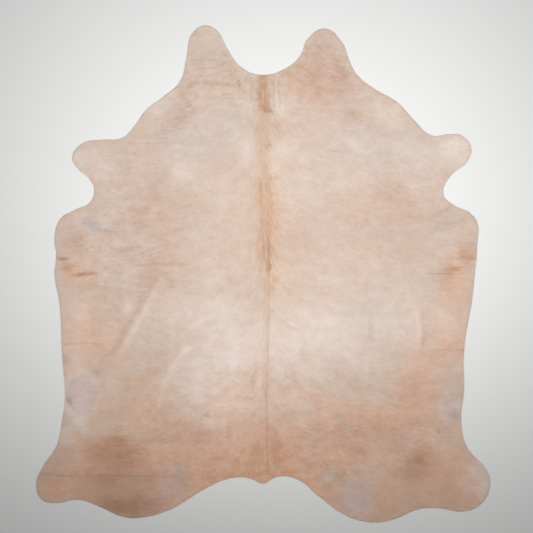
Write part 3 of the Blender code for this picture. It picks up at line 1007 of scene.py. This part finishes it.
flesh_finish, shader, place = new_finish("suede flesh side", {"Roughness": 0.9, "Specular IOR Level": 0.2})
nap = place.noise((900.0, 900.0), detail=3.0, roughness=0.6)
stain = place.noise((5.0, 4.0), detail=4.0, roughness=0.6)
colour = place.blend(SUEDE, STAINED_SUEDE, stain.maths("POWER", 2.0))
feed(shader.inputs["Base Color"], colour.shade(nap * NAP_LIGHT + NAP_SHADE))
feed(shader.inputs["Normal"], nap.bump(strength=0.4, depth=0.0005))

EDGE_FIBRE = (0.70, 0.60, 0.50)
DARK_EDGE_FIBRE = (0.52, 0.41, 0.32)

edge_finish, shader, place = new_finish("cut leather edge", {"Roughness": 0.8, "Specular IOR Level": 0.25})
fibre = place.noise((600.0, 600.0), detail=3.0, roughness=0.6)
feed(shader.inputs["Base Color"], place.blend(EDGE_FIBRE, DARK_EDGE_FIBRE, fibre))
feed(shader.inputs["Normal"], fibre.bump(strength=0.4, depth=0.0004))

# How far the speckles make a marking's borders ragged, and streak the skin.
BROAD_RAGGED = 0.6
SKIN_STREAKS = 0.2

skin = new_piece("skin", skin_places, skin_faces, [ground_finish, flesh_finish, edge_finish], skin_finish)
skin_x, skin_y, _ = skin_places.T
skin_speckles = broad_streaks(skin_x, skin_y)
skin_marks = markings(skin_x, skin_y, BROAD_RAGGED * skin_speckles)
for kind in [*COAT_AND_PAINTED_LIGHT_COLOURS, "mottled"]:
    mark_points(skin, kind, skin_marks[kind])
mark_points(skin, "lay", np.clip(lay(skin_x, skin_y) / LAY_TURN, -1.0, 1.0))
mark_points(skin, "streak", np.clip(0.5 + SKIN_STREAKS * skin_speckles, 0.0, 1.0))

# The hair side fills most of the flat map, with the edge folded out round it, and the flesh side
# lies beside it.
MAP_MARGIN = 12
FOLD_OUT = 4
HAIR_SIDE_SHARE = 0.70
FLESH_SIDE_SHARE = 0.38
FLESH_SIDE_START = 0.725

width, height = rim.max(axis=0) - rim.min(axis=0) + 2 * MAP_MARGIN
flat = (plan - rim.min(axis=0) + MAP_MARGIN) / (width, height)
flat[:, 0] *= HAIR_SIDE_SHARE
folded_out = flat.copy()
fold_step = rim_outward * FOLD_OUT / (width / HAIR_SIDE_SHARE, height)
folded_out[hair_count : hair_count + rim_count] += fold_step
folded_out[hair_count + rim_count :][:rim_count] += 2 * fold_step
beside = flat * (FLESH_SIDE_SHARE, 1.0) + (FLESH_SIDE_START, 0.0)
corner = skin_faces.ravel()
on_flesh = np.repeat(skin_finish == ON_FLESH, 3)
lay_out(skin, np.where(on_flesh[:, None], beside[corner], folded_out[corner]))
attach(skin, "root")
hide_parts("hide")


# ---- The hair -------------------------------------------------------------------------------
# Short straight hair that was left on the skin when it was tanned. It grows out of the skin and
# lies flat, to the tail along the back and down both sides, and is cut off with the skin's edge.

LOCK_STEP = 4.66
LOCK_INSET = 1.2
LOCK_LENGTH = (14.0, 24.0)
LOCK_WIDTH = (1.2, 2.1)
LOCK_ROOT_DEPTH = 0.1
LOCK_BACK = 0.28
LOCK_TIP_HEIGHT = (0.4, 1.5)
LOCK_SHAKE = 0.42
LOCK_ANGLE_SPREAD = radians(9)
SHAGGY_LENGTHENING = 0.4
LOCK_OVERHANG = 2.5
SHAGGY_OVERHANG = 5.0
OVERHANG_SHARES = (0.3, 1.0)
SHORTEST_CUT = 0.15
LEAST_DROP = 0.1
BANDS = ["rump_hair", "belly_hair", "shoulder_hair", "neck_hair"]

# A lock's own shade, from the fine and the broad speckles and a draw, and what it does.
FINE_STREAK = 0.7
BROAD_STREAK = 0.25
LOCK_RAGGED = 0.3
LOCK_STREAKS = 0.16
LOCK_SHADE_SPREAD = 0.10
LOCK_STREAK_SHARE = 0.5
STREAK_DARKENING = 0.10
TIP_LIGHTENING = 0.06
LOCK_LIGHT = 1.02

# Each band's flat map is its plan, moved by a share of the height so that no side is a line.
MAP_SLANT = 0.8
BAND_MARGIN = 0.01

draw = np.random.default_rng(51)
root_x, root_y = scattered(LOCK_STEP, LOCK_SHAKE, seed=52)
depth = inside_by(root_x, root_y)
grows = depth > LOCK_INSET
root_x = root_x[grows]
root_y = root_y[grows]
depth = depth[grows]
lock_count = len(root_x)
speckles = broad_streaks(root_x, root_y)
streak = FINE_STREAK * fine_streaks(root_x, root_y) + BROAD_STREAK * speckles
ragged = BROAD_RAGGED * speckles + LOCK_RAGGED * streak
root_marks = markings(root_x, root_y, ragged)
shaggy = root_marks["shaggy"]
angle = lay(root_x, root_y) + draw.normal(0, LOCK_ANGLE_SPREAD, lock_count)
length = draw.uniform(*LOCK_LENGTH, lock_count) * (1 + SHAGGY_LENGTHENING * shaggy)
ahead_x = np.sin(angle)
ahead_y = -np.cos(angle)
tip_depth = inside_by(root_x + ahead_x * length, root_y + ahead_y * length)
allowed = (LOCK_OVERHANG + SHAGGY_OVERHANG * shaggy) * draw.uniform(*OVERHANG_SHARES, lock_count)
cut_share = (depth + allowed) / np.maximum(depth - tip_depth, LEAST_DROP)
length *= np.where(tip_depth < -allowed, np.clip(cut_share, SHORTEST_CUT, 1.0), 1.0)
half = draw.uniform(*LOCK_WIDTH, lock_count) / 2
tip_x = root_x + ahead_x * length
tip_y = root_y + ahead_y * length
tip_marks = markings(tip_x, tip_y, ragged)
tip_rise = draw.uniform(*LOCK_TIP_HEIGHT, lock_count)
root_z = skin_top(root_x, root_y)
tip_z = skin_top(tip_x, tip_y) + tip_rise
lock_places = np.stack(
    [
        np.stack([root_x + ahead_y * half, root_y - ahead_x * half, root_z - LOCK_ROOT_DEPTH], 1),
        np.stack([root_x - ahead_y * half, root_y + ahead_x * half, root_z - LOCK_ROOT_DEPTH], 1),
        np.stack([root_x, root_y, root_z + LOCK_BACK], 1),
        np.stack([tip_x, tip_y, tip_z], 1),
    ],
    axis=1,
)

# A lock's corners are the two sides and the back of its root, and its tip.
LOCK_CORNERS = 4
LOCK_FACES = np.array([[0, 1, 3], [1, 2, 3], [2, 0, 3], [0, 2, 1]])
own_shade = draw.normal(0, LOCK_SHADE_SPREAD, lock_count)
lock_streak = np.clip(0.5 + LOCK_STREAKS * streak + own_shade, 0.0, 1.0)

hair_finish, shader, place = new_finish("short hair", HAIR_LOOK)
light = place.kept("streak") * -STREAK_DARKENING + place.kept("tip") * TIP_LIGHTENING + LOCK_LIGHT
feed(shader.inputs["Base Color"], coat_and_painted_light_colour(place, LOCK_STREAK_SHARE).shade(light))

for name, band in zip(BANDS, np.array_split(np.argsort(root_y), len(BANDS))):
    places = lock_places[band].reshape(-1, 3)
    first_corner = LOCK_CORNERS * np.arange(len(band))
    faces = (LOCK_FACES + first_corner[:, None, None]).reshape(-1, 3)
    piece = new_piece(name, places, faces, [hair_finish])
    piece.data.shade_flat()
    for kind in COAT_AND_PAINTED_LIGHT_COLOURS:
        at_root = root_marks[kind][band]
        at_tip = tip_marks[kind][band]
        mark_points(piece, kind, np.stack([at_root, at_root, at_root, at_tip], axis=1).ravel())
    mark_points(piece, "mottled", np.repeat(root_marks["mottled"][band], LOCK_CORNERS))
    mark_points(piece, "streak", np.repeat(lock_streak[band], LOCK_CORNERS))
    mark_points(piece, "tip", np.tile([0.0, 0.0, 0.0, 1.0], len(band)))
    slanted = places[:, :2] + places[:, 2:] * MAP_SLANT
    flat = (slanted - slanted.min(axis=0)) / (slanted.max(axis=0) - slanted.min(axis=0))
    flat = flat * (1 - 2 * BAND_MARGIN) + BAND_MARGIN
    lay_out(piece, flat[faces.ravel()])
    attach(piece, "root")


# ---- The studio -----------------------------------------------------------------------------
# A plain pale floor that the hide lies on, one broad soft lamp overhead towards the neck, and a
# camera straight above.

# Sizes and places here are in metres.
FLOOR_SIZE = 14.0
FLOOR_DROP = 0.0005
FLOOR_COLOUR = (0.80, 0.80, 0.79)

floor_finish, _, _ = new_finish("studio floor", {"Base Color": FLOOR_COLOUR, "Roughness": 0.8})
bpy.ops.mesh.primitive_plane_add(size=FLOOR_SIZE, location=(0.0, 0.0, -FLOOR_DROP))
floor = bpy.context.object
floor.name = "floor"
floor.data.materials.append(floor_finish)

LAMP_WIDTH = 2.4
LAMP_DEPTH = 1.7
LAMP_WATTS = 54.5
LAMP_PLACE = (0.14, 0.2, 1.95)
LAMP_TILT = 0.5
AIR_LIGHT = 0.24

lamp = bpy.data.lights.new("soft lamp", "AREA")
lamp.shape = "RECTANGLE"
lamp.size = LAMP_WIDTH
lamp.size_y = LAMP_DEPTH
lamp.energy = LAMP_WATTS
lamp_object = bpy.data.objects.new("soft lamp", lamp)
lamp_object.location = LAMP_PLACE
lamp_object.rotation_euler = (LAMP_TILT, 0.0, 0.0)
lamp_object.visible_camera = False
bpy.context.scene.collection.objects.link(lamp_object)

world = bpy.data.worlds.new("studio air")
bpy.context.scene.world = world
world.use_nodes = True
air = world.node_tree.nodes["Background"]
feed(air.inputs["Color"], (1.0, 1.0, 1.0))
feed(air.inputs["Strength"], AIR_LIGHT)
bpy.context.scene.view_settings.view_transform = "Standard"

CAMERA_X = 0.015
CAMERA_Y = 0.035
CAMERA_HEIGHT = 4.5
SEEN_WIDTH = 2.505

camera = bpy.data.cameras.new("camera above")
camera.lens = camera.sensor_width * CAMERA_HEIGHT / SEEN_WIDTH
camera_object = bpy.data.objects.new("camera above", camera)
camera_object.location = (CAMERA_X, CAMERA_Y, CAMERA_HEIGHT)
bpy.context.scene.collection.objects.link(camera_object)
bpy.context.scene.camera = camera_object
